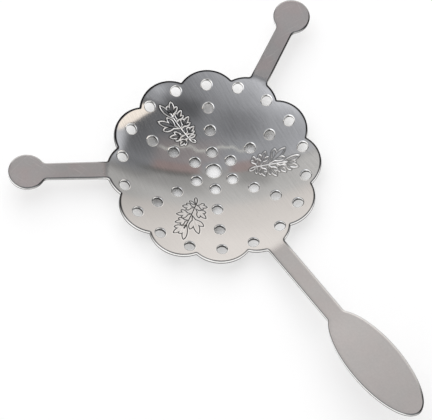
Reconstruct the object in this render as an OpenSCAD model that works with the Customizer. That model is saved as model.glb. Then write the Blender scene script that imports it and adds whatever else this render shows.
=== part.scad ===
// Absinthe spoon of the grille kind, pressed from one sheet of stainless steel.
// A shallow scalloped bowl with drip holes hangs in the mouth of a glass by two
// short knobbed arms and one long handle. X runs along the handle, Z is up, and
// the origin is the lowest point of the bowl's underside, on the bowl's axis.

/* [Bowl] */
// Radius of curvature of the bowl's inside
bowl_curve_r = 126; // [110:1:160]
// Thickness of the sheet
sheet = 1.2; // [0.8:0.1:2]
// Radius of each scallop on the rim
scallop_r = 10.9; // [10.4:0.1:11.4]
// Distance of the scallop centres from the bowl's axis
scallop_ring_r = 25.5; // [24.5:0.1:26.5]

/* [Holes] */
// Diameter of the centre hole
centre_hole_d = 5.1; // [3:0.1:7]
// Diameter of the small holes
small_hole_d = 3.5; // [2:0.1:4]
// Distance of the first ring of holes from the axis
first_ring_r = 7; // [6.5:0.1:7.5]
// Distance from one ring of holes to the next
ring_pitch = 8; // [7.5:0.1:8.2]

/* [Arms] */
// Distance from the axis to the fold where arms and handle leave the bowl's curve
fold_r = 36.6; // [36.6:0.1:39]
// Slope of the two short arms beyond the fold, in degrees
arm_rise = 4; // [1:0.5:8]
// Width of a short arm at the bowl
arm_root_w = 6.3; // [5:0.1:8]
// Width of a short arm at its knob
arm_tip_w = 5.8; // [4:0.1:7]
// Distance of the knob centres from the axis
knob_r = 62.8; // [55:0.1:72]
// Diameter of the knobs
knob_d = 12.7; // [10:0.1:16]

/* [Handle] */
// Slope of the handle beyond the fold, in degrees
handle_rise = 8; // [3:0.5:12]
// Width of the handle's shank
shank_w = 6.5; // [5:0.1:8]
// Distance of the oval's centre from the axis
oval_r = 89.8; // [80:0.1:105]
// Length of the oval grip
oval_l = 45.6; // [38:0.1:54]
// Width of the oval grip
oval_w = 17.4; // [14:0.1:24]

/* [Corners] */
// Radius of the inner corners where the arms meet their knobs
knob_fillet = 2; // [1:0.1:3]
// Radius of the inner corners where the shank meets the oval
oval_fillet = 1.5; // [1:0.1:2.5]
// Radius of the inner corners at the rim of the bowl
root_fillet = 1; // [0.5:0.1:1.5]

/* [Leaf sprigs] */
// Depth of the engraved lines
leaf_depth = 0.15; // [0.1:0.05:0.4]
// Width of the engraved lines
leaf_line = 0.4; // [0.3:0.05:0.5]
// Length of a sprig, from its foot to its tip
sprig_l = 17; // [14:0.1:18]
// Distance of the middle of a sprig from the bowl's axis
sprig_r = 20.7; // [19:0.1:22]

/* [Hidden] */
$fn = 72;
ball_fn = 240;
scallops = 12;
spokes = 6;
rings_on_spokes = 3;
outer_holes = 18;
sprig_turns = [60, 180, 300];
arm_turns = [120, 240];
handle_turn = 0;
// The curve of the bowl: its centre, and its two faces
curve_z = bowl_curve_r + sheet;
inside_r = bowl_curve_r;
underside_r = bowl_curve_r + sheet;
// Height of the sheet's upper face at the fold
fold_z = curve_z - sqrt(inside_r ^ 2 - fold_r ^ 2);
// Outermost distance of a scallop from the axis
rim_r = inside_r * sin(asin(scallop_ring_r / inside_r) + asin(scallop_r / inside_r));
// Reach of the arms and the handle, measured along their slope from the fold
arm_reach = (knob_r - fold_r) / cos(arm_rise);
oval_reach = (oval_r - fold_r) / cos(handle_rise);
// How far the arms run back under the bowl's rim before the two are joined
root_run = 8;
// Height of the blanks that the sheet is cut from
blank_h = 60;
// How far the fillet pieces reach into their neighbours, straight and along the curve
fillet_reach = 0.3;
bite = 0.02;
// Points of the oval's outline
oval_points = 96;
// A sprig as drawn, with its foot at x = 0: its length and its vein
sprig_drawn_l = 17;
VEIN = [[2.2, 0.35], [3.4, 0.35], [6.6, 0.6], [11.2, 0.75]];
// Turns of the side lobes, away from the leaflet's main lobe
fork_turn = 34;
BOTH = [-fork_turn, fork_turn];
// Each leaflet's foot, lean and length, and the turns of its side lobes
LEAFLETS = [
    [[11.2, 0.9], 14, 6.1, [-fork_turn]], [[11.2, 0.7], -25, 5.6, BOTH],
    [[9.2, 0.4], -50, 4.4, BOTH], [[6.4, 0.3], -61, 4.9, BOTH],
    [[3.6, 0.2], -71, 4, BOTH], [[6.8, 1], 41, 7.6, BOTH],
    [[3.9, 0.9], 68, 5, BOTH], [[2.4, 0.7], 104, 3.5, BOTH],
    [[2.2, 0.3], -152, 2.7, []], [[2.4, 0.1], -98, 2.4, []]
];
// One side of a lobe, in shares of its length and width
LOBE_SIDE = [[0.3, 0.38], [0.6, 0.5], [0.85, 0.36]];
// Width of a leaflet's main lobe: a part that all have, and a share of the length
lobe_w_min = 0.42;
lobe_w_share = 0.2;
// Side lobes, in shares of the main one: where they fork off, their length and width
side_lobe_from = 0.2;
side_lobe_l = 0.56;
side_lobe_w = 0.85;

// Places its children square to the bowl's curve, dist from the axis, at a turn around it
module on_bowl(dist, turn) {
    rotate([0, 0, turn])
        translate([0, 0, curve_z])
            rotate([0, -asin(dist / inside_r), 0])
                translate([0, 0, -curve_z])
                    children();
}

// Places its children in the plane of an arm, with the fold at x = 0
module on_arm(turn, rise) {
    rotate([0, 0, turn])
        translate([fold_r, 0, fold_z])
            rotate([0, -rise, 0])
                children();
}

// Fills the corner between a straight edge at edge_y and a round outline beyond it
module corner_fill(edge_y, centre, r, fillet) {
    up = edge_y + fillet - centre.y;
    along = sqrt((r + fillet) ^ 2 - up ^ 2);
    hub = [centre.x - along, edge_y + fillet];
    touch = centre + (hub - centre) * (r - fillet_reach) / (r + fillet);
    difference() {
        polygon([[hub.x, edge_y - fillet_reach], [centre.x, edge_y - fillet_reach], touch, hub]);
        translate(hub)
            circle(r = fillet + bite);
    }
}

// Does the same on both edges of an arm
module corner_fills(edge_y, centre, r, fillet) {
    corner_fill(edge_y, centre, r, fillet);
    mirror([0, 1])
        corner_fill(edge_y, centre, r, fillet);
}

// Rounds the corners where an arm leaves the bowl's rim
module root_fills(edge_y) {
    mirror([1, 0])
        corner_fills(edge_y, [scallop_r + fold_r - rim_r, 0], scallop_r, root_fillet);
}

// Flat outline of a short arm and its knob
module arm_outline() {
    polygon([
        [-root_run, -arm_root_w / 2], [arm_reach, -arm_tip_w / 2],
        [arm_reach, arm_tip_w / 2], [-root_run, arm_root_w / 2]
    ]);
    translate([arm_reach, 0])
        circle(d = knob_d);
    corner_fills(arm_tip_w / 2, [arm_reach, 0], knob_d / 2, knob_fillet);
    root_fills(arm_root_w / 2);
}

// Flat outline of the handle: a plain shank that ends in an oval
module handle_outline() {
    half_l = oval_l / 2;
    half_w = oval_w / 2;
    // The corner between the shank and the oval, and the oval's own curve there
    rise_there = asin(shank_w / oval_w);
    there = [-half_l * cos(rise_there), shank_w / 2];
    curve_there = ((half_l * sin(rise_there)) ^ 2 + (half_w * cos(rise_there)) ^ 2) ^ 1.5 / (half_l * half_w);
    out = [there.x / half_l ^ 2, there.y / half_w ^ 2];
    hub = there - out / norm(out) * curve_there;
    translate([-root_run, -shank_w / 2])
        square([root_run + oval_reach, shank_w]);
    translate([oval_reach, 0])
        polygon([for (i = [0:oval_points - 1])
            [half_l * cos(i * 360 / oval_points), half_w * sin(i * 360 / oval_points)]]);
    corner_fills(shank_w / 2, [oval_reach + hub.x, hub.y], curve_there, oval_fillet);
    root_fills(shank_w / 2);
}

// Everything that the blank's outline keeps, as tall prisms
module outline_blank() {
    cylinder(r = scallop_ring_r, h = blank_h, center = true);
    for (i = [0:scallops - 1])
        on_bowl(scallop_ring_r, i * 360 / scallops)
            cylinder(r = scallop_r, h = blank_h, center = true);
    for (turn = arm_turns)
        on_arm(turn, arm_rise)
            linear_extrude(blank_h, center = true)
                arm_outline();
    on_arm(handle_turn, handle_rise)
        linear_extrude(blank_h, center = true)
            handle_outline();
}

// The space above an arm's plane, lowered by the given depth
module above_arm(turn, rise, depth) {
    on_arm(turn, rise)
        translate([-root_run, -oval_w, -depth])
            cube([oval_r + oval_l, 2 * oval_w, blank_h]);
}

// The space above one face of the sheet, flat beyond the folds
module above_arms(depth) {
    for (turn = arm_turns)
        above_arm(turn, arm_rise, depth);
    above_arm(handle_turn, handle_rise, depth);
}

// Drip holes, square to the bowl's curve
module drip_holes() {
    cylinder(d = centre_hole_d, h = blank_h, center = true);
    for (ring = [0:rings_on_spokes - 1], i = [0:spokes - 1])
        on_bowl(first_ring_r + ring * ring_pitch, (i + 0.5) * 360 / spokes)
            cylinder(d = small_hole_d, h = blank_h, center = true);
    for (i = [0:outer_holes - 1])
        on_bowl(first_ring_r + rings_on_spokes * ring_pitch, (i + 0.5) * 360 / outer_holes)
            cylinder(d = small_hole_d, h = blank_h, center = true);
}

// One pointed lobe of a leaflet
module lobe(l, w) {
    mirrored = [for (i = [len(LOBE_SIDE) - 1:-1:0]) [LOBE_SIDE[i].x * l, -LOBE_SIDE[i].y * w]];
    polygon([[0, 0], for (p = LOBE_SIDE) [p.x * l, p.y * w], [l, 0], each mirrored]);
}

// One leaflet: a long middle lobe and shorter ones that fork off at the given turns
module leaflet(l, side_turns) {
    w = lobe_w_min + lobe_w_share * l;
    lobe(l, w);
    translate([side_lobe_from * l, 0])
        for (turn = side_turns)
            rotate(turn)
                lobe(side_lobe_l * l, side_lobe_w * w);
}

// The leaflets of one sprig, whose foot is at x = 0
module leaflets() {
    scale(sprig_l / sprig_drawn_l)
        for (leaf = LEAFLETS)
            translate(leaf[0])
                rotate(leaf[1])
                    leaflet(leaf[2], leaf[3]);
}

// The engraved lines of one sprig: the leaflets' outline and the vein
module sprig_lines() {
    vein = VEIN * sprig_l / sprig_drawn_l;
    half = [0, leaf_line / 2];
    difference() {
        offset(delta = leaf_line / 2)
            leaflets();
        offset(delta = -leaf_line / 2)
            leaflets();
    }
    polygon([for (p = vein) p - half, for (i = [len(vein) - 1:-1:0]) vein[i] + half]);
}

// Grooves of the sprigs, which end on a floor that follows the bowl
module sprig_grooves() {
    intersection() {
        translate([0, 0, curve_z])
            sphere(r = inside_r + leaf_depth, $fn = ball_fn);
        for (turn = sprig_turns)
            on_bowl(sprig_r, turn)
                linear_extrude(blank_h, center = true)
                    translate([-sprig_l / 2, 0])
                        sprig_lines();
    }
}

// The whole spoon, cut and pressed from one sheet
module spoon() {
    color("silver")
        difference() {
            intersection() {
                outline_blank();
                union() {
                    translate([0, 0, curve_z])
                        sphere(r = underside_r, $fn = ball_fn);
                    above_arms(sheet);
                }
            }
            translate([0, 0, curve_z])
                sphere(r = inside_r, $fn = ball_fn);
            above_arms(0);
            drip_holes();
            sprig_grooves();
        }
}

spoon();
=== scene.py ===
# Absinthe spoon: one pressed steel sheet with rounded edges, drip holes and engraved sprigs.
# The sheet is built in millimetres in the part's own frame and scaled to metres at the end.
import math
import bpy
import numpy as np
from mathutils import Matrix, Vector
from mathutils.geometry import delaunay_2d_cdt
from mathutils.kdtree import KDTree


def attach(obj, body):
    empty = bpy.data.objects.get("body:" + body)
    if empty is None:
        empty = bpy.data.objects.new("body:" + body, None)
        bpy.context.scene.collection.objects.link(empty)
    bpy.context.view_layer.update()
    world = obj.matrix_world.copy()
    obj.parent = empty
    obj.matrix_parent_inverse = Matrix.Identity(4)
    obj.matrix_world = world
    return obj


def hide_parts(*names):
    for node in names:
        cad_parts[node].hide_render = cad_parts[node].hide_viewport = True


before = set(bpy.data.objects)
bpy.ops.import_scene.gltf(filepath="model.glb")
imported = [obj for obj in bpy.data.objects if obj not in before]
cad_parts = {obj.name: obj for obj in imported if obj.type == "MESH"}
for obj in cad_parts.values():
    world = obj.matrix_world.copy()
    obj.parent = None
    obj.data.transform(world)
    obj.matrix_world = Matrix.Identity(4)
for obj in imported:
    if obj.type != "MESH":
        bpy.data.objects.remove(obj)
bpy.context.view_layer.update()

# Sizes of the part, in millimetres and degrees
MM = 0.001
BALL = 126.0
SHEET = 1.2
CURVE_Z = BALL + SHEET
SCALLOPS = 12
SCALLOP_TURN = 360 / SCALLOPS
SCALLOP_R = 10.9
SCALLOP_RING = 25.5
FOLD_R = 36.6
FOLD_Z = CURVE_Z - math.sqrt(BALL ** 2 - FOLD_R ** 2)
ROOT_RUN = 8.0
ARM_ROOT_W = 6.3
ARM_TIP_W = 5.8
KNOB_R = 62.8
KNOB_D = 12.7
SHANK_W = 6.5
OVAL_R = 89.8
OVAL_L = 45.6
OVAL_W = 17.4
# Radii of the outline's inner corners
CUSP_FILLET = 0.35
ROOT_FILLET = 1.0
KNOB_FILLET = 2.0
OVAL_FILLET = 1.5
# Turn, rise and softness of the fold of the handle and of the two short arms
ARMS = ((0, 8.0, 0.32), (120, 4.0, 0.24), (240, 4.0, 0.24))
# Where an arm's face begins and how far it reaches to both sides
ARM_FROM = 30
ARM_SIDE = 14
# Up to where, and from how far beside its middle line, an arm's face is lifted clear of the bowl
ROOT_TO = 45
ROOT_SIDE = 6
# Each hole's distance from the axis, turn and radius
CENTRE_R = 2.55
HOLE_R = 1.75
SPOKE_RINGS = (7.0, 15.0, 23.0)
OUTER_RING = 31.0
HOLES = [(0.0, 0.0, CENTRE_R)]
HOLES += [(ring, 30 + 60 * k, HOLE_R) for ring in SPOKE_RINGS for k in range(6)]
HOLES += [(OUTER_RING, 10 + 20 * k, HOLE_R) for k in range(18)]
# For each sprig: its turn, how steep its engraved lines are beside the steepest, and the shares of polish with a
# painted highlight and of painted shade, in the middle of a line and beside it
SPRIGS = ((60, 0.7, (0.8, 0), (0, 0.5)), (180, 1, (1, 0), (0, 0.85)), (300, 0.8, (0, 1), (1, 0)))
SPRIG_R = 20.7
SPRIG_L = 17.0

# Direction of the far side, away from the camera, in degrees from the handle
FAR = 139.1
FAR_WAY = (math.cos(math.radians(FAR)), math.sin(math.radians(FAR)), 0)
RIGHT_WAY = (math.sin(math.radians(FAR)), -math.cos(math.radians(FAR)), 0)

# Width and depth of the roll-over on the sheet's upper edges, and rounding of the lower ones
RIM_ROLL = (0.6, 0.3)
LEFT_WIDER = 0.12
FAR_WIDER = 0.14
NEAR_SHARPER = 0.12
ARM_NEAR_ROLL = 0.36
ARM_RIGHT_ROLL = 0.55
ARM_FAR_ROLL = 0.5
HANDLE_FAR_ROLL = 0.9
RIM_UNDER = 0.1
HOLE_ROLL = (0.44, 0.24)
HOLE_NEAR_WIDER = 0.1
HOLE_UNDER = 0.12
# Heights above the lower rounding between which the wall of the rim turns into a painted dark line of shade
BREAK = (0.42, 0.34)
# Steps round the upper and the lower edge
ROLL_STEPS = 6
UNDER_STEPS = 3

# Spacing of the points along the outline and, in degrees, round its small corners
STRAIGHT_STEP = 0.8
CURVE_STEP = 0.5
KNOB_STEP = 0.42
CORNER_STEP = 14
CENTRE_POINTS = 52
HOLE_POINTS = 40
# Spacing of the points on both faces, and how far they keep from the edges and from the sprigs
TOP_STEP = 1.15
TOP_GAP = 0.5
UNDER_STEP = 1.6
UNDER_GAP = 0.6
SPRIG_GAP = 0.45
SPRIG_EDGE_GAP = 0.12


def unit(v):
    return v / np.linalg.norm(v, axis=1)[:, None]


def smoothstep(t):
    t = np.clip(t, 0, 1)
    return t * t * (3 - 2 * t)


def ease(v, start, span):
    """0 up to a start, then smoothly up to 1 over a span."""
    return smoothstep((v - start) / span)


def blended(a, b, t):
    return a + (b - a) * t


def in_arm(x, y, turn):
    """Plan coordinates along and across an arm."""
    c, s = math.cos(math.radians(turn)), math.sin(math.radians(turn))
    return x * c + y * s, y * c - x * s


def far_part(x, y):
    return x * FAR_WAY[0] + y * FAR_WAY[1]


def right_part(x, y):
    return x * RIGHT_WAY[0] + y * RIGHT_WAY[1]


def top_z(x, y):
    """Height of the sheet's upper face: the bowl's ball, bent softly into the arms."""
    z = CURVE_Z - np.sqrt(BALL ** 2 - x * x - y * y)
    for turn, rise, soft in ARMS:
        a, b = in_arm(x, y, turn)
        plane = FOLD_Z + (a - FOLD_R) * math.tan(math.radians(rise))
        plane = plane + np.where(a < ROOT_TO, ease(np.abs(b), ROOT_SIDE, 3), 0)
        near = np.maximum(soft - np.abs(z - plane), 0) / soft
        bent = np.minimum(z, plane) - near * near * soft / 4
        z = np.where((a > ARM_FROM) & (np.abs(b) < ARM_SIDE), bent, z)
    return z


def top_normal(x, y):
    h = 1e-3
    dx = (top_z(x + h, y) - top_z(x - h, y)) / (2 * h)
    dy = (top_z(x, y + h) - top_z(x, y - h)) / (2 * h)
    return unit(np.stack([-dx, -dy, np.ones_like(dx)], axis=1))


def top_points(x, y):
    return np.stack([x, y, top_z(x, y)], axis=1)


def ball_axes(dist, turn):
    """Outward axis through a point of the bowl, and the two directions square to it."""
    lean, t = math.asin(dist / BALL), math.radians(turn)
    axis = np.array([math.sin(lean) * math.cos(t), math.sin(lean) * math.sin(t), -math.cos(lean)])
    out = np.array([math.cos(lean) * math.cos(t), math.cos(lean) * math.sin(t), math.sin(lean)])
    return axis, out, np.array([-math.sin(t), math.cos(t), 0.0])


def ball_circle(dist, turn, radius, psi):
    """Plan of a circle on the bowl's upper face."""
    axis, out, side = ball_axes(dist, turn)
    opening = math.asin(radius / BALL)
    d = math.cos(opening) * axis + math.sin(opening) * (np.cos(psi)[:, None] * out + np.sin(psi)[:, None] * side)
    return BALL * d[:, :2]


# The outline, as polylines that run anticlockwise and are joined by small round corners

# Where an arm's straight sides start, and how far they run into the head
SHANK_FROM = -2.2
INTO_HEAD = 4
# Half the angle that a head's curve runs over, in degrees
OVAL_SPAN = 172
KNOB_SPAN = 168
# Angles at a scallop's centre, in radians, between which its arc runs: at an arm's root, and at both ends
SCALLOP_FROM = 0.05
SCALLOP_SPAN = 1.15


def arm_plan(turn, rise, pts):
    pts = np.asarray(pts, float)
    a, b = FOLD_R + pts[:, 0] * math.cos(math.radians(rise)), pts[:, 1]
    c, s = math.cos(math.radians(turn)), math.sin(math.radians(turn))
    return np.stack([a * c - b * s, a * s + b * c], axis=1)


def straight(p, q):
    t = np.linspace(0, 1, 200)[:, None]
    return np.asarray(p, float) * (1 - t) + np.asarray(q, float) * t


def scallop(turn, start, end, n):
    """Part of a scallop's arc in plan."""
    return ball_circle(SCALLOP_RING, turn, SCALLOP_R, np.linspace(start, end, n))


def tangents(p):
    return unit(np.gradient(p, axis=0))


def join(p, q, r):
    """Round inner corner of radius r between two polylines that cross: where each one ends, and the hub."""
    def moved_out(c):
        t = tangents(c)
        return c + r * np.stack([t[:, 1], -t[:, 0]], axis=1)

    a, b = moved_out(p), moved_out(q)
    d1, d2 = np.diff(a, axis=0)[:, None], np.diff(b, axis=0)[None]
    w = b[None, :-1] - a[:-1, None]
    cross = d1[..., 0] * d2[..., 1] - d1[..., 1] * d2[..., 0]
    cross = np.where(np.abs(cross) < 1e-12, 1e-12, cross)
    s = (w[..., 0] * d2[..., 1] - w[..., 1] * d2[..., 0]) / cross
    t = (w[..., 0] * d1[..., 1] - w[..., 1] * d1[..., 0]) / cross
    i, j = np.argwhere((s >= 0) & (s < 1) & (t >= 0) & (t < 1))[0]
    return i + s[i, j], j + t[i, j], a[i] + s[i, j] * (a[i + 1] - a[i])


def stretch(p, start, end, step):
    """Evenly spaced points of a polyline between two places on it."""
    k = np.arange(len(p))
    at = np.concatenate([[start], k[(k > start + 1e-6) & (k < end - 1e-6)], [end]])
    q = np.stack([np.interp(at, k, p[:, 0]), np.interp(at, k, p[:, 1])], axis=1)
    run = np.concatenate([[0], np.cumsum(np.linalg.norm(np.diff(q, axis=0), axis=1))])
    u = np.linspace(0, run[-1], max(2, int(math.ceil(run[-1] / step)) + 1))
    return np.stack([np.interp(u, run, q[:, 0]), np.interp(u, run, q[:, 1])], axis=1)


def round_corner(hub, p, q):
    """Points between p and q, clockwise round the hub."""
    a0, a1 = math.atan2(*(p - hub)[::-1]), math.atan2(*(q - hub)[::-1])
    while a1 > a0:
        a1 -= 2 * math.pi
    n = max(2, int(math.ceil(math.degrees(a0 - a1) / CORNER_STEP)))
    a = np.linspace(a0, a1, n + 1)[1:-1]
    r = np.linalg.norm(p - hub)
    return hub + r * np.stack([np.cos(a), np.sin(a)], axis=1)


def arm_outline(turn, rise):
    """The two sides and the head of an arm, each with the spacing of its points, and the radius between them."""
    flat = math.cos(math.radians(rise))
    if turn == 0:
        reach = (OVAL_R - FOLD_R) / flat
        t = np.radians(np.linspace(-OVAL_SPAN, OVAL_SPAN, 900))
        head = np.stack([reach + OVAL_L / 2 * np.cos(t), OVAL_W / 2 * np.sin(t)], axis=1)
        stop, fillet, step = reach - OVAL_L / 2 + INTO_HEAD, OVAL_FILLET, CURVE_STEP
        root_half = stop_half = SHANK_W / 2
    else:
        reach = (KNOB_R - FOLD_R) / flat
        t = np.radians(np.linspace(-KNOB_SPAN, KNOB_SPAN, 500))
        head = np.stack([reach + KNOB_D / 2 * np.cos(t), KNOB_D / 2 * np.sin(t)], axis=1)
        stop, fillet, step = reach - INTO_HEAD, KNOB_FILLET, KNOB_STEP
        root_half, stop_half = ((ARM_ROOT_W + (ARM_TIP_W - ARM_ROOT_W) * (a + ROOT_RUN) / (reach + ROOT_RUN)) / 2
                                for a in (SHANK_FROM, stop))
    lower = arm_plan(turn, rise, straight((SHANK_FROM, -root_half), (stop, -stop_half)))
    upper = arm_plan(turn, rise, straight((stop, stop_half), (SHANK_FROM, root_half)))
    return [(lower, STRAIGHT_STEP), (arm_plan(turn, rise, head), step), (upper, STRAIGHT_STEP)], fillet


def outline():
    """The whole outline in plan, anticlockwise."""
    parts, corners = [], []
    for turn, rise, _ in ARMS:
        arm, fillet = arm_outline(turn, rise)
        parts += arm
        corners += [fillet, fillet, ROOT_FILLET]
        parts.append((scallop(turn, SCALLOP_FROM, SCALLOP_SPAN, 200), CURVE_STEP))
        parts += [(scallop(turn + SCALLOP_TURN * k, -SCALLOP_SPAN, SCALLOP_SPAN, 400), CURVE_STEP) for k in (1, 2, 3)]
        parts.append((scallop(turn + SCALLOP_TURN * 4, -SCALLOP_SPAN, -SCALLOP_FROM, 200), CURVE_STEP))
        corners += [CUSP_FILLET] * 4 + [ROOT_FILLET]
    n = len(parts)
    joins = [join(parts[k][0], parts[(k + 1) % n][0], corners[k]) for k in range(n)]
    pieces = [stretch(parts[k][0], joins[k - 1][1], joins[k][0], parts[k][1]) for k in range(n)]
    loop = []
    for k in range(n):
        loop += [pieces[k], round_corner(joins[k][2], pieces[k][-1], pieces[(k + 1) % n][0])]
    return np.concatenate(loop)


# The sheet's edges

def facing(plan):
    """How far each point of an outline looks out of the sheet to the far side and to the right, from -1 to 1."""
    t = unit(np.roll(plan, -1, axis=0) - np.roll(plan, 1, axis=0))
    x, y = t[:, 1], -t[:, 0]
    return far_part(x, y), right_part(x, y)


def on_arm(x, y):
    return ease(np.hypot(x, y), 36, 5)


def roll_over(plan, hole):
    """Width and depth of the rolled upper edge at each point of an outline."""
    far, right = facing(plan)
    if hole:
        wide, deep = HOLE_ROLL
        return wide - HOLE_NEAR_WIDER * far, np.full(len(plan), deep)
    x, y = plan.T
    wide, deep = RIM_ROLL
    back = ease(far, -0.5, 0.9)
    on = blended(ARM_NEAR_ROLL, ARM_RIGHT_ROLL, ease(right, -0.35, 0.6))
    on = blended(on, np.where(x > 0, HANDLE_FAR_ROLL, ARM_FAR_ROLL), back * ease(far, -0.1, 0.5))
    wide = wide + LEFT_WIDER * ease(-right, 0.4, 0.5) + FAR_WIDER * ease(far, 0.3, 0.3)
    return blended(wide, on, on_arm(x, y)), deep - NEAR_SHARPER * (1 - back)


def rings(plan, hole):
    """Rings of points over the sheet's edge, from the upper face round to the lower one, with their normals."""
    wide, deep = (size[:, None] for size in roll_over(plan, hole))
    under = HOLE_UNDER if hole else RIM_UNDER
    p, n = top_points(*plan.T), top_normal(*plan.T)
    ahead = unit(np.roll(p, -1, axis=0) - p)
    t = unit(ahead + np.roll(ahead, 1, axis=0))
    m = unit(np.cross(n, t))
    out = []
    for k in range(ROLL_STEPS + 1):
        f = math.pi / 2 * k / ROLL_STEPS
        at = p + m * wide * (1 - math.sin(f)) - n * deep * (1 - math.cos(f))
        if k == 0:
            at[:, 2] = top_z(at[:, 0], at[:, 1])
        out.append((at, unit(n * wide * math.cos(f) - m * deep * math.sin(f))))
    out += [(p - n * (SHEET - under - height), -m) for height in BREAK]
    for k in range(UNDER_STEPS + 1):
        f = math.pi / 2 * (1 - k / UNDER_STEPS)
        at = p + m * under * (1 - math.sin(f)) - n * (SHEET - under * (1 - math.cos(f)))
        out.append((at, -n * math.cos(f) - m * math.sin(f)))
    return out


# The engraved sprigs, drawn in a plane of their own with the foot at x = 0

BOTH = (-34, 34)
# Foot, lean, length, and the turns of the side lobes
LEAFLETS = (((11.2, 0.9), 14, 6.1, BOTH[:1]), ((11.2, 0.7), -25, 5.6, BOTH), ((9.2, 0.4), -50, 4.4, BOTH),
            ((6.4, 0.3), -61, 4.9, BOTH), ((3.6, 0.2), -71, 4.0, BOTH), ((6.8, 1.0), 41, 7.6, BOTH),
            ((3.9, 0.9), 68, 5.0, BOTH), ((2.4, 0.7), 104, 3.5, BOTH), ((2.2, 0.3), -152, 2.7, ()),
            ((2.4, 0.1), -98, 2.4, ()))
# Shares of a lobe's length, and half its width there as a share of its width
LOBE = ((0, 0), (0.15, 0.2), (0.3, 0.37), (0.45, 0.46), (0.6, 0.5), (0.73, 0.465), (0.85, 0.35), (0.94, 0.18), (1, 0))
VEIN = np.array([[2.2, 0.35], [3.4, 0.35], [6.6, 0.6], [11.2, 0.75]])
VEIN_HALF = 0.25
# Spacing of the points, and the distances from a line between which it holds
SPRIG_GRIDS = ((0.09, -1, 0.32), (0.15, 0.37, 0.66), (0.4, 0.8, 9))
# Left, right, lower and upper limits of the grids, and how far they go beyond the leaflets
SPRIG_BOX = (-2, SPRIG_L + 2.5, -7.5, 8.5)
SPRIG_MARGIN = 1.1
GROOVE_HALF = 0.24
GROOVE_EASE = 0.05
GROOVE_SLOPE = math.tan(math.radians(24))
# Distances from a line at which the marks change, and over how much: in its middle, and beside it on both sides
MIDDLE_END = (0.1, 0.1)
BESIDE_START = (0.19, 0.07)
BESIDE_END = (0.42, 0.18)
# Height of one row of an even grid, as a share of its spacing
HEX_ROW = 0.866


def lobe(length, width, turn, at):
    """One pointed lobe as a closed polyline with softened sides."""
    u, h = np.array(LOBE).T
    side = np.stack([u * length, h * width], axis=1)
    p = np.concatenate([side, side[-2:0:-1] * [1, -1]])
    c, s = math.cos(math.radians(turn)), math.sin(math.radians(turn))
    return np.stack([at[0] + p[:, 0] * c - p[:, 1] * s, at[1] + p[:, 0] * s + p[:, 1] * c], axis=1)


def sprig_lobes():
    out = []
    for foot, lean, length, turns in LEAFLETS:
        wide = 0.42 + 0.2 * length
        out.append(lobe(length, wide, lean, foot))
        fork = np.array(foot) + 0.2 * length * np.array([math.cos(math.radians(lean)), math.sin(math.radians(lean))])
        out += [lobe(0.56 * length, 0.85 * wide, lean + turn, fork) for turn in turns]
    return out


LOBES = sprig_lobes()


def to_polyline(p, poly, closed):
    """Distance from each point to a polyline."""
    a = poly if closed else poly[:-1]
    b = np.roll(poly, -1, axis=0) if closed else poly[1:]
    ab = b - a
    t = ((p[:, None] - a) * ab).sum(2) / (ab * ab).sum(1)
    near = a + np.clip(t, 0, 1)[..., None] * ab
    return np.linalg.norm(p[:, None] - near, axis=2).min(axis=1)


def inside(p, poly):
    """True for the points inside a closed polyline."""
    a, b = poly, np.roll(poly, -1, axis=0)
    over = (a[None, :, 1] > p[:, 1:2]) != (b[None, :, 1] > p[:, 1:2])
    dy = b[:, 1] - a[:, 1]
    dy = np.where(dy == 0, 1e-12, dy)
    x = a[:, 0] + (p[:, 1:2] - a[:, 1]) * (b[:, 0] - a[:, 0]) / dy
    return (over & (p[:, 0:1] < x)).sum(axis=1) % 2 == 1


def leaf_field(p):
    """Signed distance to the outline of all the leaflets, less than 0 inside. It is only measured near them."""
    out = np.full(len(p), 1e9)
    for poly in LOBES:
        box = (p > poly.min(axis=0) - 2).all(axis=1) & (p < poly.max(axis=0) + 2).all(axis=1)
        if box.any():
            q = p[box]
            d = to_polyline(q, poly, True)
            out[box] = np.minimum(out[box], np.where(inside(q, poly), -d, d))
    return out


def to_lines(p):
    """Distance from each point to the nearest engraved line."""
    return np.minimum(np.abs(leaf_field(p)), to_polyline(p, VEIN, False))


def groove(off):
    """Depth of an engraved line at a distance from it: two even slopes, eased at the bottom and at the upper edges."""
    at = np.linspace(0, GROOVE_HALF, 60)
    slope = GROOVE_SLOPE * smoothstep(at / GROOVE_EASE) * smoothstep((GROOVE_HALF - at) / GROOVE_EASE)
    depth = np.concatenate([[0], np.cumsum((slope[1:] + slope[:-1]) / 2)]) * (at[1] - at[0])
    return np.interp(off, at, depth[-1] - depth)


def hex_grid(x0, x1, y0, y1, step):
    rows = int((y1 - y0) / (step * HEX_ROW)) + 1
    cols = int((x1 - x0) / step) + 1
    r, c = np.mgrid[0:rows, 0:cols]
    return np.stack([(x0 + (c + 0.5 * (r % 2)) * step).ravel(), (y0 + r * step * HEX_ROW).ravel()], axis=1)


def sprig_points():
    """Points of one sprig in its own plane, dense along the lines, with distance to a line, depth and slopes."""
    p = []
    for step, low, high in SPRIG_GRIDS:
        q = hex_grid(*SPRIG_BOX, step)
        off = to_lines(q)
        p.append(q[(off > low) & (off < high) & (leaf_field(q) < SPRIG_MARGIN)])
    p = np.concatenate(p)
    h = 0.004
    dx, dy = ((groove(to_lines(p + way)) - groove(to_lines(p - way))) / (2 * h) for way in ([h, 0], [0, h]))
    off = to_lines(p)
    return p, off, groove(off), dx, dy


def on_sprig(local, turn):
    """Base point on the bowl's upper face under each point of a sprig."""
    axis, out, side = ball_axes(SPRIG_R, turn)
    x, y = local[:, 0] - SPRIG_L / 2, local[:, 1]
    down = np.sqrt(BALL ** 2 - x * x - y * y)
    return np.array([0, 0, CURVE_Z]) + x[:, None] * out + y[:, None] * side + down[:, None] * axis


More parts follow.
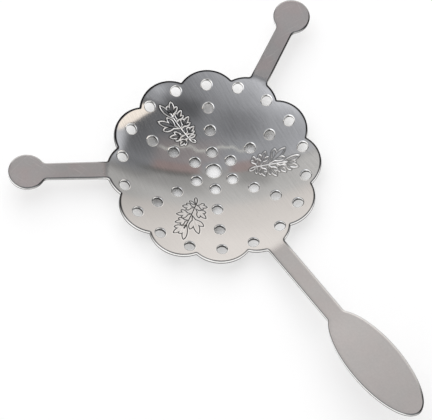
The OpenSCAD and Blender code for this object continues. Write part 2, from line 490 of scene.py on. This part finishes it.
def engraved_points():
    """The points of all sprigs: base plan, place, normal, marks as in Sheet.add, and share of engraving."""
    local, off, depth, dx, dy = sprig_points()
    middle = 1 - ease(off, *MIDDLE_END)
    beside = ease(off, *BESIDE_START) * (1 - ease(off, *BESIDE_END))
    vein = to_polyline(local, VEIN, False) < VEIN_HALF
    engraved = np.clip(depth / depth.max() * 1.6, 0, 1)
    out = []
    for turn, steep, light, painted_shade in SPRIGS:
        base = on_sprig(local, turn)
        _, ahead, side = ball_axes(SPRIG_R, turn)
        n = unit(np.array([0, 0, CURVE_Z]) - base)
        lean = dx[:, None] * ahead + dy[:, None] * side
        # The painted shade in a line's middle is darkest in the vein and in lines whose slopes face left and right
        across = np.abs(right_part(lean[:, 0], lean[:, 1])) / np.maximum(np.hypot(lean[:, 0], lean[:, 1]), 1e-6)
        run = np.where(vein, 1, 0.5 + 0.5 * across)
        marks = np.stack([painted_shade[0] * middle * run + painted_shade[1] * beside, light[0] * middle + light[1] * beside,
                          np.zeros(len(off))], axis=1)
        out.append((base[:, :2], base - n * steep * depth[:, None], unit(n + steep * lean), marks, engraved))
    return list(map(np.concatenate, zip(*out)))


# The sheet as one closed mesh

# Shares of polish, with its painted highlight, and of hole wall, with its painted shade, on the thirteen rings over an
# edge
RIM_POLISH_AND_HIGHLIGHT = (0, 1, 1, 1, 1, 1, 1, 1, 1, 1, 1, 1, 0)
RIM_WALL_AND_SHADE = (0,) * 13
HOLE_POLISH_AND_HIGHLIGHT = (0, 1, 1, 1, 1, 1, 0, 0, 0, 0, 0, 0, 0)
HOLE_WALL_AND_SHADE = (0, 0, 0, 0, 0, 0.5, 1, 1, 1, 1, 1, 1, 0)
# Shares of the painted dark line of shade on the rings of the rim, on the bowl and on the arms, by the way that the
# edge faces
BOWL_NEAR = (0, 0.3, 0.75, 0.75, 0.3, 0, 0, 0, 0.8, 0.9, 1, 1, 0)
BOWL_FAR = (0, 0.7, 1, 1, 1, 1, 1, 1, 1, 1, 1, 1, 0)
ARM_LEFT = (0.1, 0.6, 0.85, 0.7, 0.2, 0, 0, 0, 0.95, 1, 1, 1, 0)
ARM_RIGHT = (0, 0.6, 1, 1, 1, 1, 1, 1, 1, 1, 1, 1, 0)
ARM_FAR = (0, 0.25, 0.4, 0.45, 0.5, 0.5, 0.5, 0.5, 0.5, 0.5, 0.5, 0.5, 0)


def painted_dark_line(plan):
    """Shares of the painted dark line of shade along the rim, one row for each ring."""
    x, y = plan.T
    far, right = facing(plan)
    near_bowl, far_bowl, left_arm, right_arm, far_arm = (
        np.array(shares)[:, None] for shares in (BOWL_NEAR, BOWL_FAR, ARM_LEFT, ARM_RIGHT, ARM_FAR))
    bowl = blended(near_bowl, far_bowl, ease(far - 0.35 * np.maximum(right, 0), -0.8, 0.6))
    # The painted shade is only about half as dark on edges of the arms that face the camera straight, and on the
    # handle's far edge
    straight_on = 1 - 0.45 * ease(-far, 0.55, 0.4)
    arm = blended(left_arm, right_arm * straight_on, ease(right, -0.35, 0.6))
    arm = blended(arm, far_arm * np.where(x > 0, 0.5, 1), ease(far, 0.1, 0.4))
    return blended(bowl, arm, on_arm(x, y))


class Sheet:
    """Points, normals, marks, engraving and faces of the sheet, added part by part."""
    def __init__(self):
        self.points, self.normals, self.marks, self.lines, self.faces, self.count = [], [], [], [], [], 0

    def add(self, points, normals, marks=(0, 0, 0), lines=0.0):
        """Adds points; marks are their shares of painted dark line, of polish with painted highlight and of hole wall
        with painted shade, lines that of engraving.
        """
        start = self.count
        self.points.append(points)
        self.normals.append(normals)
        self.marks.append(np.array(np.broadcast_to(marks, (len(points), 3)), float))
        self.lines.append(np.broadcast_to(lines, len(points)))
        self.count += len(points)
        return start

    def edge(self, plan, hole):
        """Adds the rings of one edge; returns the first and the last one, each as its start and its plan."""
        stack = rings(plan, hole)
        polish_and_highlight, wall_and_shade = (HOLE_POLISH_AND_HIGHLIGHT, HOLE_WALL_AND_SHADE) if hole else (RIM_POLISH_AND_HIGHLIGHT, RIM_WALL_AND_SHADE)
        starts = [self.add(p, n, (0, a, b)) for (p, n), a, b in zip(stack, polish_and_highlight, wall_and_shade)]
        if not hole:
            # Painted dark line of shade along the rim
            for block, painted_shade in zip(self.marks[-len(stack):], painted_dark_line(plan)):
                block[:, 0] = painted_shade
        i = np.arange(len(plan))
        j = (i + 1) % len(plan)
        for s, t in zip(starts, starts[1:]):
            self.faces += np.stack([s + i, t + i, t + j, s + j], axis=1).tolist()
        return (starts[0], stack[0][0][:, :2]), (starts[-1], stack[-1][0][:, :2])

    def fill(self, loops, start, plan, upward):
        """Triangles between the loops, over the points that start at a place."""
        pts = np.concatenate([loop for _, loop in loops] + [plan])
        ids = np.concatenate([np.arange(len(loop)) + first for first, loop in loops] + [np.arange(len(plan)) + start])
        rims, at = [], 0
        for _, loop in loops:
            rims.append(list(range(at, at + len(loop))))
            at += len(loop)
        v, _, tris, source, _, _ = delaunay_2d_cdt([Vector(p) for p in pts], [], rims, 2, 1e-9)
        assert len(v) == len(pts), "the triangulation added points"
        to = [int(ids[s[0]]) for s in source]
        for tri in tris:
            a, b, c = (v[k] for k in tri)
            tri = [to[k] for k in tri]
            turn = (b.x - a.x) * (c.y - a.y) - (b.y - a.y) * (c.x - a.x)
            self.faces.append(tri if (turn > 0) == upward else tri[::-1])


def clear_of(points, loops, gap):
    """True for the points further than gap from every point of the loops."""
    pts = np.concatenate([loop for _, loop in loops])
    tree = KDTree(len(pts))
    for k, p in enumerate(pts):
        tree.insert((p[0], p[1], 0), k)
    tree.balance()
    return np.array([tree.find((p[0], p[1], 0))[2] > gap for p in points])


def in_sheet(points, loops):
    """True for the points inside the first loop and outside the holes."""
    ok = inside(points, loops[0][1])
    for (_, _, radius), (_, loop) in zip(HOLES, loops[1:]):
        ok &= np.hypot(*(points - loop.mean(axis=0)).T) > radius + 0.5
    return ok


def build_sheet():
    """Points, normals, marks, engraving and faces of the whole sheet, in millimetres."""
    sheet = Sheet()
    rim = outline()
    edges = [sheet.edge(rim, False)]
    for dist, turn, radius in HOLES:
        n = HOLE_POINTS if radius == HOLE_R else CENTRE_POINTS
        psi = -np.linspace(0, 2 * math.pi, n, endpoint=False)
        edges.append(sheet.edge(ball_circle(dist, turn, radius, psi), True))
    tops, unders = zip(*edges)
    lo, hi = rim.min(axis=0), rim.max(axis=0)

    # Upper face
    sprigs = engraved_points()
    ok = clear_of(sprigs[0], tops, SPRIG_EDGE_GAP) & in_sheet(sprigs[0], tops)
    fixed, shown, tilted, marks, engraved = (part[ok] for part in sprigs)
    coarse = hex_grid(lo[0], hi[0], lo[1], hi[1], TOP_STEP)
    coarse = coarse[in_sheet(coarse, tops)]
    coarse = coarse[clear_of(coarse, tops, TOP_GAP)]
    coarse = coarse[clear_of(coarse, [(0, fixed)], SPRIG_GAP)]
    pts = np.concatenate([shown, top_points(*coarse.T)])
    nrm = np.concatenate([tilted, top_normal(*coarse.T)])
    marks = np.concatenate([marks, np.zeros((len(coarse), 3))])
    lines = np.concatenate([engraved, np.zeros(len(coarse))])
    sheet.fill(tops, sheet.add(pts, nrm, marks, lines), np.concatenate([fixed, coarse]), True)

    # Lower face, whose points lie square under points of the upper one
    coarse = hex_grid(lo[0], hi[0], lo[1], hi[1], UNDER_STEP)
    x, y = coarse[np.hypot(*coarse.T) < BALL - 2].T
    n = top_normal(x, y)
    low = top_points(x, y) - n * SHEET
    ok = in_sheet(low[:, :2], unders)
    low, n = low[ok], n[ok]
    ok = clear_of(low[:, :2], unders, UNDER_GAP)
    sheet.fill(unders, sheet.add(low[ok], -n[ok]), low[ok][:, :2], False)
    return tuple(map(np.concatenate, (sheet.points, sheet.normals, sheet.marks, sheet.lines))) + (sheet.faces,)


def make_sheet():
    pts, nrm, marks, lines, faces = build_sheet()
    mesh = bpy.data.meshes.new("spoon_sheet")
    mesh.from_pydata((pts * MM).tolist(), [], faces)
    mesh.polygons.foreach_set("use_smooth", [True] * len(faces))
    x, y = pts[:, 0], pts[:, 1]
    arm = ease(np.hypot(x, y), 35.6, 2.2)
    # Place along and across an arm, and the arm's turn
    grain = np.zeros((len(pts), 3))
    for turn, _, _ in ARMS:
        a, b = in_arm(x, y, turn)
        mine = (a > 25) & (np.abs(b) < ARM_SIDE)
        grain[mine] = np.stack([a, b, np.full(len(a), turn)], axis=1)[mine]
    for name, kind, field, values in (("arm", "FLOAT", "value", arm), ("engraved", "FLOAT", "value", lines),
                                      ("grain", "FLOAT_VECTOR", "vector", grain),
                                      ("edge", "FLOAT_VECTOR", "vector", marks)):
        mesh.attributes.new(name, kind, "POINT").data.foreach_set(field, values.astype(np.float32).ravel())
    mesh.update()
    mesh.normals_split_custom_set_from_vertices(nrm.tolist())
    obj = bpy.data.objects.new("spoon_sheet", mesh)
    bpy.context.scene.collection.objects.link(obj)
    print("spoon_sheet", len(pts), "points", len(faces), "faces")
    return obj


# Materials

class Nodes:
    """Short ways to add and link nodes."""
    def __init__(self, tree):
        self.tree = tree
        tree.nodes.clear()

    def add(self, kind, inputs=None, **props):
        node = self.tree.nodes.new(kind)
        for k, v in props.items():
            setattr(node, k, v)
        for k, v in (inputs or {}).items():
            socket = node.inputs[k]
            if isinstance(v, bpy.types.NodeSocket):
                self.tree.links.new(v, socket)
            else:
                socket.default_value = v
        return node

    def math(self, op, a, b=0.0, c=0.0, clamp=False):
        return self.add("ShaderNodeMath", {0: a, 1: b, 2: c}, operation=op, use_clamp=clamp).outputs[0]

    def times(self, first, *others):
        for other in others:
            first = self.math("MULTIPLY", first, other)
        return first

    def rest_of(self, share):
        return self.math("SUBTRACT", 1.0, share)

    def line(self, value, slope, at_zero, clamp=False):
        """A value times a slope, plus what it is at 0."""
        return self.math("MULTIPLY_ADD", value, slope, at_zero, clamp)

    def between(self, value, start, end, least=0.0, most=1.0, kind="LINEAR"):
        """From least at the start to most at the end, and steady beyond both."""
        return self.add("ShaderNodeMapRange", {"Value": value, "From Min": start, "From Max": end,
                                               "To Min": least, "To Max": most}, interpolation_type=kind).outputs[0]

    def vector(self, op, a, b):
        return self.add("ShaderNodeVectorMath", {0: a, 1: b}, operation=op).outputs["Value"]

    def scaled(self, vector, factor):
        return self.add("ShaderNodeVectorMath", {0: vector, "Scale": factor}, operation="SCALE").outputs[0]

    def split(self, vector):
        return tuple(self.add("ShaderNodeSeparateXYZ", {"Vector": vector}).outputs)

    def attribute(self, name, output):
        return self.add("ShaderNodeAttribute", attribute_name=name).outputs[output]

    def noise(self, vector, scale, detail, rough=0.5):
        return self.add("ShaderNodeTexNoise", {"Vector": vector, "Scale": scale, "Detail": detail,
                                               "Roughness": rough}).outputs["Fac"]

    def blend(self, share, a, b):
        """A number from a to b."""
        return self.add("ShaderNodeMix", {0: share, 2: a, 3: b}, data_type="FLOAT").outputs[0]

    def mix(self, share, a, b, kind="MIX"):
        """A colour from a to b."""
        return self.add("ShaderNodeMix", {0: share, 6: a, 7: b}, data_type="RGBA", blend_type=kind).outputs[2]

    def ramp(self, share, stops):
        node = self.add("ShaderNodeValToRGB", {"Fac": share})
        els = node.color_ramp.elements
        while len(els) > 1:
            els.remove(els[-1])
        for k, (at, col) in enumerate(stops):
            e = els[0] if k == 0 else els.new(at)
            e.position = at
            e.color = (*col, 1) if isinstance(col, tuple) else (col, col, col, 1)
        return node.outputs["Color"]


STEEL = (0.79, 0.775, 0.755, 1)
# Painted highlight on polished edges, painted dark line of shade, and painted shade on the walls of the holes
PAINTED_EDGE_HIGHLIGHT = (0.93, 0.92, 0.905, 1)
PAINTED_EDGE_SHADE = (0.035, 0.034, 0.034, 1)
PAINTED_WALL_SHADE = (0.1, 0.097, 0.095, 1)
# Tone of the satin arms beside the bowl
SATIN = (0.905, 0.893, 0.9)
SATIN_WARM = (0.95, 0.885, 0.89)
# Roughness from the darkest to the lightest stroke, and of edges, engraving and the wall of a hole
BOWL_ROUGH = (0.03, 0.09)
ARM_ROUGH = (0.27, 0.37)
EDGE_ROUGH = 0.1
WALL_ROUGH = 0.3
BUMP = 2.2e-6


def steel():
    """Brushed bowl, satin arms, polished edges with painted highlights and painted dark lines of shade, and rougher
    walls with painted shade in the holes.
    """
    mat = bpy.data.materials.new("brushed_steel")
    mat.use_nodes = True
    n = Nodes(mat.node_tree)
    mm = n.scaled(n.add("ShaderNodeTexCoord").outputs["Object"], 1 / MM)
    arm = n.attribute("arm", "Fac")
    grain = n.attribute("grain", "Vector")
    # Shares of painted dark line, of polish with painted highlight, and of hole wall with painted shade
    painted_shade, polish_and_highlight, wall_and_shade = n.split(n.attribute("edge", "Vector"))
    along, _, turn = n.split(grain)
    short = n.math("GREATER_THAN", turn, 60.0)
    on_short, on_handle = n.times(short, arm), n.times(n.rest_of(short), arm)

    def streaks(vec, turned, lengthwise, across, detail=3.0):
        m = n.add("ShaderNodeMapping", {"Vector": vec, "Rotation": (0, 0, math.radians(-turned))})
        m = n.add("ShaderNodeMapping", {"Vector": m.outputs[0], "Scale": (lengthwise, across, 0.0)})
        return n.noise(m.outputs[0], 1.0, detail, 0.6)

    # Strokes in two directions on the bowl, by patches, and along the arms
    cloud = n.noise(mm, 0.11, 2.0)
    patch = n.line(cloud, 7.0, -3.0, clamp=True)
    bowl_fine = n.blend(patch, streaks(mm, -8, 0.1, 1.6), streaks(mm, 3, 0.12, 2.0))
    bowl_fine = n.blend(0.25, bowl_fine, n.noise(mm, 1.9, 2.0))
    bowl_wide = streaks(mm, -3, 0.045, 0.5, 2.0)
    arm_fine = streaks(grain, 0, 0.12, 3.2)
    fine = n.blend(arm, bowl_fine, arm_fine)

    rough = n.blend(arm, *(n.line(strokes, high - low, low) for strokes, (low, high) in
                           ((bowl_fine, BOWL_ROUGH), (arm_fine, ARM_ROUGH))))
    for share, value in ((polish_and_highlight, EDGE_ROUGH), (n.attribute("engraved", "Fac"), EDGE_ROUGH), (wall_and_shade, WALL_ROUGH)):
        rough = n.blend(share, rough, value)

    # The strokes show most on the far part of the bowl, and less at its left
    strength = n.times(n.between(n.vector("DOT_PRODUCT", mm, FAR_WAY), -16.0, 6.0, 0.13, 0.6),
                       n.between(n.vector("DOT_PRODUCT", mm, RIGHT_WAY), -30.0, -4.0, 0.8, 1.0),
                       n.line(n.line(n.noise(mm, 0.17, 1.0), 3.0, -0.5, clamp=True), 0.7, 0.4))
    strength = n.blend(arm, strength, 0.07)
    tone = n.line(n.math("SUBTRACT", fine, 0.5), strength, 1.0)
    tone = n.times(tone, n.line(cloud, 0.07, 0.965))
    # Lighter oval, painted shade in the fold of the handle, lighter knobs, and fine specks on all arms
    oval = n.times(n.between(along, 62.0, 73.0), n.between(along, 106.0, 74.0), on_handle)
    painted_fold_shade = n.times(n.between(along, 38.0, 54.0, 0.07, 0.0), on_handle)
    knob = n.times(n.between(along, 50.0, 60.0, -0.04, 0.08), on_short)
    specks = n.times(n.math("SUBTRACT", n.noise(mm, 1.3, 3.0, 0.7), 0.5), arm)
    tone = n.times(tone, n.line(oval, 0.13, 1.0), n.rest_of(painted_fold_shade), n.math("ADD", knob, 1.0),
                   n.line(specks, 0.16, 1.0))
    # A few fine scratches across the two short arms
    cuts = n.math("MAXIMUM", streaks(grain, 47, 0.07, 1.5, 1.0), streaks(grain, -36, 0.09, 1.3, 1.0))
    tone = n.line(n.times(n.between(cuts, 0.64, 0.72), on_short), 0.13, tone)

    warmer = n.times(n.between(n.noise(mm, 0.13, 1.5), 0.4, 0.62), n.line(short, 0.7, 0.3))
    satin = n.mix(warmer, *(tuple(a * b for a, b in zip(STEEL, tint)) + (1,) for tint in (SATIN, SATIN_WARM)))
    colour = n.mix(arm, STEEL, satin)
    # Painted highlight on polished edges, painted dark lines of shade, and painted shade on the walls of the holes
    for share, paint in ((polish_and_highlight, PAINTED_EDGE_HIGHLIGHT), (painted_shade, PAINTED_EDGE_SHADE), (wall_and_shade, PAINTED_WALL_SHADE)):
        colour = n.mix(share, colour, paint)
    height = n.times(n.math("ADD", fine, n.times(bowl_wide, 1.6)), n.rest_of(polish_and_highlight))
    bump = n.add("ShaderNodeBump", {"Strength": 1.0, "Distance": BUMP, "Height": height})
    shader = n.add("ShaderNodeBsdfPrincipled", {"Base Color": n.scaled(colour, tone), "Metallic": 1.0,
                                                "Roughness": rough, "Normal": bump.outputs[0]})
    n.add("ShaderNodeOutputMaterial", {"Surface": shader.outputs[0]})
    return mat


# Surroundings. Their angles are in degrees: over the top, from the zenith towards the far side, and out, to the side.
# Left and right are those of the picture in the bowl, whose hollow shows the right of the room at its left.

def cool(v):
    return v * 0.97, v * 1.0, v * 1.075


def warm(v):
    return v * 1.04, v * 1.0, v * 0.975


# Angle over the top, and the light that comes from there
SKY = ((-180, 0.8), (-95, 0.85), (-70, 1.05), (-26, 1.05), (-14, 0.8), (-5, cool(0.52)), (0, cool(0.41)),
       (4, cool(0.33)), (10, cool(0.275)), (15, cool(0.275)), (20, cool(0.31)), (25, cool(0.36)), (28.2, 0.385),
       (28.9, 0.465), (33, 0.525), (37, 0.59), (40, warm(0.69)), (45, warm(0.76)), (50, warm(0.85)), (57, warm(0.88)),
       (60, 1.15), (66, 1.15), (72, 0.15), (90, 0.07), (97, 0.1), (120, 0.8))
# The same far out on both sides
WINGS = ((-100, 0.85), (-60, 1.0), (0, 0.95), (18, 0.12), (95, 0.1), (120, 0.8))
# Strength, and the angles over and out between which it rises and falls
SHADES = ((0.42, (4.0, 7.5, 9.0, 14.0), (3.0, 7.0, 10.0, 16.0)),
          (0.23, (27.5, 30.0, 33.5, 37.5), (-3.0, 6.0, 90.0, 91.0)),
          (0.24, (4.0, 10.0, 12.5, 18.0), (-15.0, -8.0, -4.0, 3.0)),
          (0.3, (25.0, 27.5, 29.0, 32.0), (-17.0, -12.0, -8.0, -5.0)))
GLOWS = ((0.26, (-30.0, -12.0, 2.0, 9.0), (-91.0, -90.0, -20.0, -8.0)),
         (0.13, (-1.0, 2.0, 4.5, 7.5), (11.0, 14.0, 18.0, 21.0)),
         (0.2, (2.0, 4.5, 8.0, 10.0), (14.0, 17.5, 20.5, 23.0)),
         (0.46, (16.0, 20.0, 27.0, 34.0), (22.0, 25.0, 90.0, 91.0)))
GLOW = (0.95, 0.98, 1.05)
WARM_BAND = (0.34, 0.245, 0.235, 1)
WARM_ABOVE = (0.4, 0.325, 0.315, 1)
BAND_EDGE = (0.15, 0.15, 0.147, 1)
BRIGHT_LINE = (0.66, 0.67, 0.645, 1)
FIGURE = (0.1, 0.1, 0.1, 1)
PANEL = (1.12, 1.03, 0.94, 1)
WHITE = (1.0, 1.0, 1.0, 1)
PALE = (0.97, 0.97, 0.97, 1)


def studio_sky(n):
    """Soft studio surroundings: dim overhead, bright beyond, with a few soft-edged panels."""
    way = n.add("ShaderNodeTexCoord").outputs["Generated"]
    far, side, up = (n.vector("DOT_PRODUCT", way, axis) for axis in (FAR_WAY, RIGHT_WAY, (0, 0, 1)))
    deg = 180 / math.pi
    over = n.times(n.math("ARCTAN2", far, up), deg)
    out = n.times(n.math("ARCSINE", side), deg)

    def between(v, start, end):
        return n.between(v, start, end, kind="SMOOTHSTEP")

    def band(v, a, b, c, d):
        """Rises from a to b and falls from c to d."""
        return n.times(between(v, a, b), between(v, d, c))

    def by_angle(angle, stops):
        share = n.math("DIVIDE", n.math("ADD", angle, 180), 360)
        return n.ramp(share, [((a + 180) / 360, light) for a, light in stops])

    # The edge of the far panel lies further out to the left, and softens there
    left = n.math("MAXIMUM", out, 0.0)
    right = n.math("MAXIMUM", n.times(out, -1.0), 0.0)
    curve = n.math("SUBTRACT", n.times(out, 0.19), n.times(out, out, 0.003))
    bent = n.math("SUBTRACT", over, curve)
    at = n.math("SUBTRACT", over, n.times(curve, between(over, 50.0, 36.0), between(over, 12.0, 22.0)))
    at = n.math("SUBTRACT", at, n.times(between(out, 12.0, 19.0), 3.0, band(over, 22.0, 28.0, 36.0, 50.0)))
    sky = by_angle(at, SKY)
    # Dimmer to the left overhead and brighter to the right
    left, right = n.math("MINIMUM", left, 20.0), n.math("MINIMUM", right, 24.0)
    lean = n.math("SUBTRACT", n.times(right, 0.03, between(over, 34.0, 4.0)),
                  n.times(left, 0.033, between(over, 36.0, 22.0)))
    sky = n.scaled(sky, n.math("EXPONENT", n.times(lean, between(over, -40.0, -8.0))))
    sky = n.scaled(sky, n.math("ADD", 1.0, n.times(0.002, right, between(over, 33.0, 38.0))))
    # Soft shades: lower left, and then upper left, left below the band, and right of the middle above and below
    sky = n.scaled(sky, n.rest_of(n.times(0.011, left, between(over, 34.0, 42.0))))
    for depth, over_at, out_at in SHADES:
        sky = n.scaled(sky, n.rest_of(n.times(depth, band(over, *over_at), band(out, *out_at))))
    # Soft glows: upper right, two at the upper left, and far out at the left
    glow = 0.0
    for strength, over_at, out_at in GLOWS:
        glow = n.math("ADD", glow, n.times(strength, band(over, *over_at), band(out, *out_at)))
    sky = n.mix(1.0, sky, n.scaled(GLOW, glow), "ADD")
    # Warm band with a dark lower edge under the dim part, open in the middle
    gap = between(n.math("ABSOLUTE", n.math("ADD", out, 0.5)), 2.5, 5.0)
    middle = n.times(0.7, band(bent, 23.6, 25.4, 27.6, 28.2), band(out, -15.0, -8.0, 13.5, 16.5), gap)
    above = n.times(0.35, band(bent, 15.0, 20.0, 23.6, 25.0), band(out, -4.0, 2.0, 13.0, 17.0))
    below = n.times(0.65, band(bent, 26.8, 27.5, 28.5, 29.0), band(out, 3.0, 6.0, 16.0, 20.0))
    for share, paint in ((middle, WARM_BAND), (above, WARM_ABOVE), (below, BAND_EDGE)):
        sky = n.mix(share, sky, paint)
    # Thin bright wavy line across the dim part
    wave = n.line(n.math("SINE", n.times(out, 0.62)), 0.75, n.line(out, 0.15, 19.9))
    wave = n.line(n.math("SINE", n.times(out, 1.7)), 0.3, wave)
    off = n.math("ABSOLUTE", n.math("SUBTRACT", over, wave))
    sky = n.mix(n.times(between(off, 0.5, 0.1), band(out, -12.0, -8.0, 13.0, 16.0)), sky, BRIGHT_LINE)
    # Out to the sides: bright overhead, dark beyond, and white at the very ends
    sideways = n.math("ABSOLUTE", out)
    sky = n.mix(between(sideways, 27.0, 35.0), sky, by_angle(over, WINGS))
    sky = n.mix(n.times(between(sideways, 44.0, 52.0), band(over, -60.0, -40.0, 30.0, 38.0)), sky, WHITE)
    # Dark figure on the near side, behind the camera
    sky = n.mix(n.times(0.9, band(over, -85.0, -75.0, -24.0, -12.0), between(sideways, 17.0, 13.0)), sky, FIGURE)
    # Bright panel at the upper left
    slant = n.math("SUBTRACT", out, n.line(over, 0.72, 9.7))
    panel = n.times(band(over, 10.3, 11.3, 20.0, 23.0), between(slant, -0.35, 0.35), between(out, 60.0, 45.0))
    sky = n.mix(panel, sky, PANEL)
    # Pale strip all round, just above the floor
    return n.mix(between(up, 0.12, 0.09), sky, PALE)


# Painted shadow and light on the floor under the bowl: a darker colour, less white glow, and a lighter spot. Each
# gives its middle in metres, how far round it the tone changes, and from what to what
FLOOR_PAINTED_SHADOW = ((-0.014, 0.001, 0), 0.008, 0.018, 0.66, 0.92)
FLOOR_GLOW = ((0, 0, 0), 0.023, 0.034, 0.03, 0.48)
FLOOR_PAINTED_LIGHT = ((0.019, 0.003, 0), 0.008, 0.016, 0.34, 0.0)
# The lamp's width and distance in metres, its power, and where it stands
LAMP_WIDTH = 2.0
LAMP_AWAY = 1.2
LAMP_POWER = 14.5
LAMP_TURN = FAR + 20
LAMP_LEAN = 36


def make_floor():
    """White floor that keeps the shadow, with a painted shadow under the bowl, deepest on its far left, and a painted
    lighter spot on the handle's side.
    """
    bpy.ops.mesh.primitive_plane_add(size=6)
    floor = bpy.context.object
    floor.name = "floor"
    mat = bpy.data.materials.new("floor_white")
    mat.use_nodes = True
    n = Nodes(mat.node_tree)
    path = n.add("ShaderNodeLightPath")
    seen = n.math("MAXIMUM", path.outputs["Is Camera Ray"], path.outputs["Is Glossy Ray"])
    seen = n.math("MAXIMUM", seen, path.outputs["Is Transmission Ray"])
    white = n.add("ShaderNodeEmission", {"Color": (1, 1, 1, 1), "Strength": 1.0})
    place = n.add("ShaderNodeTexCoord").outputs["Object"]

    def round_about(middle, low, high, least, most):
        return n.between(n.vector("DISTANCE", place, middle), low, high, least, most)

    # Painted shadow: a darker floor colour under the bowl
    tint = round_about(*FLOOR_PAINTED_SHADOW)
    grey = n.add("ShaderNodeCombineColor", {0: tint, 1: tint, 2: tint}).outputs[0]
    matt = n.add("ShaderNodeBsdfDiffuse", {"Color": grey})
    # Less white glow under the bowl as painted shadow, and more in one spot as painted light
    share = n.math("ADD", round_about(*FLOOR_GLOW), round_about(*FLOOR_PAINTED_LIGHT))
    mix = n.add("ShaderNodeMixShader", {0: n.times(seen, share), 1: matt.outputs[0], 2: white.outputs[0]})
    n.add("ShaderNodeOutputMaterial", {"Surface": mix.outputs[0]})
    floor.data.materials.append(mat)


def make_world():
    world = bpy.data.worlds.new("studio")
    bpy.context.scene.world = world
    world.use_nodes = True
    n = Nodes(world.node_tree)
    back = n.add("ShaderNodeBackground", {"Color": studio_sky(n), "Strength": 1.0})
    n.add("ShaderNodeOutputWorld", {"Surface": back.outputs[0]})


def make_lamp():
    """One large soft lamp on the far side, which the steel doesn't mirror."""
    lamp = bpy.data.lights.new("softbox", "AREA")
    lamp.shape = "DISK"
    lamp.size = LAMP_WIDTH
    lamp.energy = LAMP_POWER
    obj = bpy.data.objects.new("softbox", lamp)
    bpy.context.scene.collection.objects.link(obj)
    az, lean = math.radians(LAMP_TURN), math.radians(LAMP_LEAN)
    place = Vector((math.sin(lean) * math.cos(az), math.sin(lean) * math.sin(az), math.cos(lean))) * LAMP_AWAY
    obj.location = place
    obj.rotation_euler = place.to_track_quat("Z", "Y").to_euler()
    obj.visible_glossy = False


# The photograph's own view, from a fit to the hole centres and the outline: angles in degrees, distance and shifts in
# the fit's millimetres with what they are worth in the part's, and focal length and width in the photograph's pixels
VIEW_TURN, VIEW_RISE, VIEW_ROLL = 49.137, 64.243, 6.605
VIEW_AWAY = 795.536
VIEW_SHIFT = (-0.795, 13.052)
VIEW_SCALE = 1.0165
PHOTO_FOCAL = 2391.329
PHOTO_WIDTH = 432


def make_camera():
    az, el, roll = map(math.radians, (VIEW_TURN, VIEW_RISE, VIEW_ROLL))
    back = np.array([math.sin(az) * math.cos(el), -math.cos(az) * math.cos(el), math.sin(el)])
    right = np.array([math.cos(az), math.sin(az), 0.0])
    up = np.cross(back, right)
    r = math.cos(roll) * right + math.sin(roll) * up
    u = math.cos(roll) * up - math.sin(roll) * right
    place = VIEW_SCALE * (VIEW_AWAY * back - VIEW_SHIFT[0] * r - VIEW_SHIFT[1] * u) + [0, 0, SHEET]
    cam = bpy.data.cameras.new("camera")
    cam.sensor_width = 36.0
    cam.lens = PHOTO_FOCAL * cam.sensor_width / PHOTO_WIDTH
    cam.clip_start, cam.clip_end = 0.01, 20.0
    obj = bpy.data.objects.new("camera", cam)
    bpy.context.scene.collection.objects.link(obj)
    m = Matrix.Identity(4)
    for k, v in enumerate((r, u, back, place * MM)):
        for row in range(3):
            m[row][k] = v[row]
    obj.matrix_world = m
    bpy.context.scene.camera = obj


make_camera()
spoon = make_sheet()
spoon.data.materials.append(steel())
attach(spoon, "root")
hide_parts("spoon")
make_floor()
make_world()
make_lamp()
bpy.context.scene.view_settings.view_transform = "Standard"
